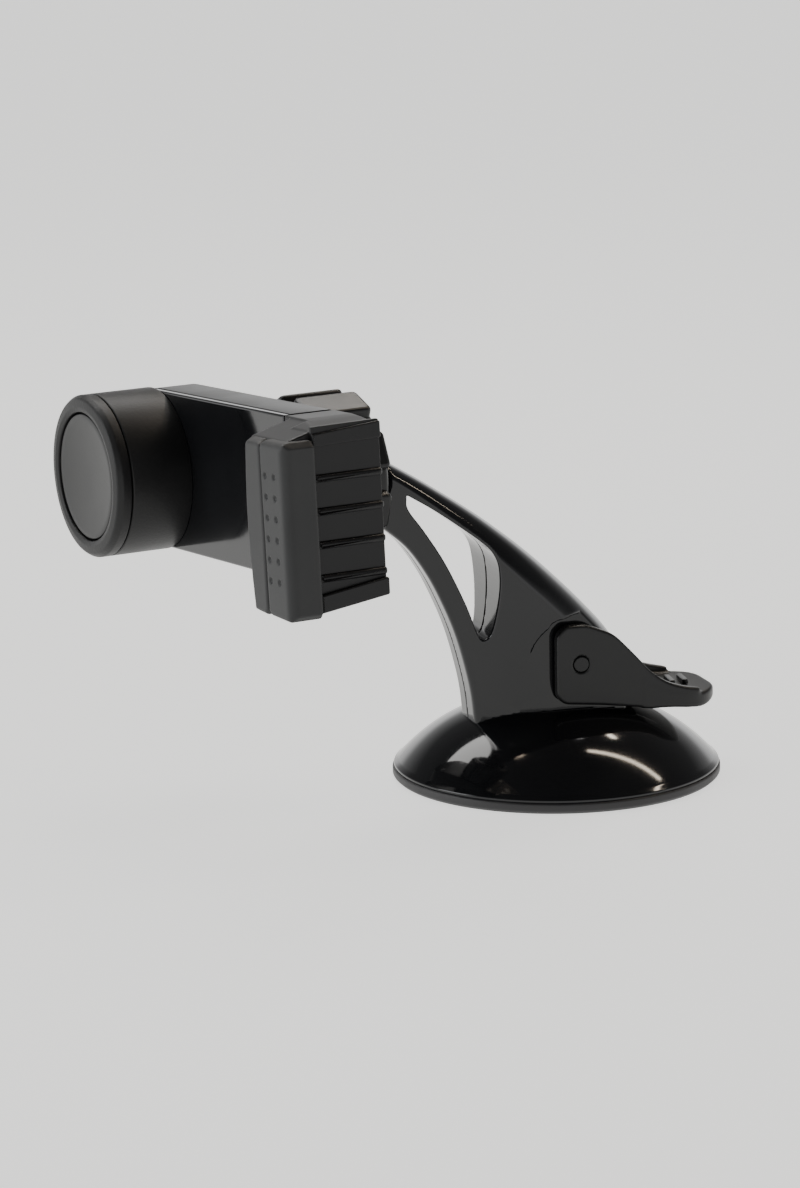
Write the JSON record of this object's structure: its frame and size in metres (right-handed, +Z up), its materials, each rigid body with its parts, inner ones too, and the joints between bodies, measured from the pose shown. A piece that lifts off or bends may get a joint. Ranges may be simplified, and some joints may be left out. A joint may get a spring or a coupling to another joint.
{
  "type": "car phone mount",
  "caption": "Suction phone holder: domed base with cam lever, slotted arm, ball joint with lock nut, and a cradle bar with round post and sliding ribbed jaw.",
  "frame": {"origin": "centre of the suction cup's lower face", "axes": "+Z up out of the cup; +X from the ball joint towards the cam lever's tab; the arm lies in the XZ plane"},
  "size_m": [0.1365, 0.1059, 0.0896],
  "materials": {
    "gloss_black": "polished moulded plastic",
    "satin_black": "fine satin moulding",
    "soft_rubber": "soft-touch rubber",
    "grey_plastic": "plain moulding",
    "steel": "plated"
  },
  "bodies": {
    "base": {"suction_cup": "soft_rubber", "dome_cover": "gloss_black", "arm_left_shell": "gloss_black", "arm_right_shell": "gloss_black", "arm_screws": "steel", "foot_screws": "steel", "ball_stud": "satin_black"},
    "stud": {"pull_stud": "steel", "lever_pin": "steel"},
    "lever": {"cam_lever": "satin_black"},
    "liner": {"ball_liner": "grey_plastic"},
    "seat": {"ball_seat": "grey_plastic"},
    "cradle": {"bar_housing": "satin_black", "bar_face_plate": "gloss_black", "housing_screws": "steel", "post_core": "satin_black", "post_sleeve": "soft_rubber", "post_cap_ring": "satin_black", "button_spring": "steel", "pawl_pin": "steel", "pawl_spring": "steel", "jaw_spring": "steel"},
    "nut": {"lock_nut": "satin_black"},
    "button": {"release_button": "satin_black"},
    "pawl": {"pawl": "grey_plastic"},
    "jaw": {"jaw_rack": "grey_plastic", "jaw_body": "satin_black", "jaw_side_cover": "satin_black", "jaw_finger": "soft_rubber", "jaw_grip_pad": "soft_rubber", "jaw_screws": "steel"}
  },
  "joints": [
    {"name": "stud_slide", "type": "slide", "parent": "base", "child": "stud", "axis": [0, 0, 1], "range_m": [-0.002, 0], "deforming": ["suction_cup"]},
    {"name": "lever_lift", "type": "hinge", "parent": "stud", "child": "lever", "pos_m": [0.0019, 0, 0.0267], "axis": [0, -1, 0], "range_deg": [0, 75]},
    {"name": "cradle_pan", "type": "hinge", "parent": "base", "child": "liner", "pos_m": [-0.0505, 0, 0.0699], "axis": [0, 0, 1], "range_deg": [-25, 4]},
    {"name": "cradle_tilt", "type": "hinge", "parent": "liner", "child": "seat", "pos_m": [-0.0505, 0, 0.0699], "axis": [-0.2019, 0.9778, -0.0558], "range_deg": [-5, 46]},
    {"name": "cradle_spin", "type": "hinge", "parent": "seat", "child": "cradle", "pos_m": [-0.0505, 0, 0.0699], "axis": [0.9792, 0.2028, 0.0105], "range_deg": [-90, 90]},
    {"name": "nut_turn", "type": "hinge", "parent": "cradle", "child": "nut", "pos_m": [-0.0505, 0, 0.0699], "axis": [0.9792, 0.2028, 0.0105], "range_deg": [0, 120]},
    {"name": "jaw_slide", "type": "slide", "parent": "cradle", "child": "jaw", "axis": [0.2019, -0.9778, 0.0558], "range_m": [0, 0.03], "deforming": ["jaw_spring"]},
    {"name": "button_press", "type": "slide", "parent": "cradle", "child": "button", "axis": [0.9792, 0.2028, 0.0105], "range_m": [0, 0.0016], "stiffness_N_per_m": 300, "springref_m": -0.002, "deforming": ["button_spring"]},
    {"name": "pawl_lift", "type": "hinge", "parent": "cradle", "child": "pawl", "pos_m": [-0.07384, 0.02402, 0.06813], "axis": [-0.0216, 0.0525, 0.9984], "range_deg": [-7.8, 0], "deforming": ["pawl_spring"]}
  ],
  "couplings": [
    {"joint": "stud_slide", "follows": "lever_lift", "m_per_rad": -0.0015279},
    {"joint": "pawl_lift", "follows": "button_press", "rad_per_m": -83.333}
  ]
}
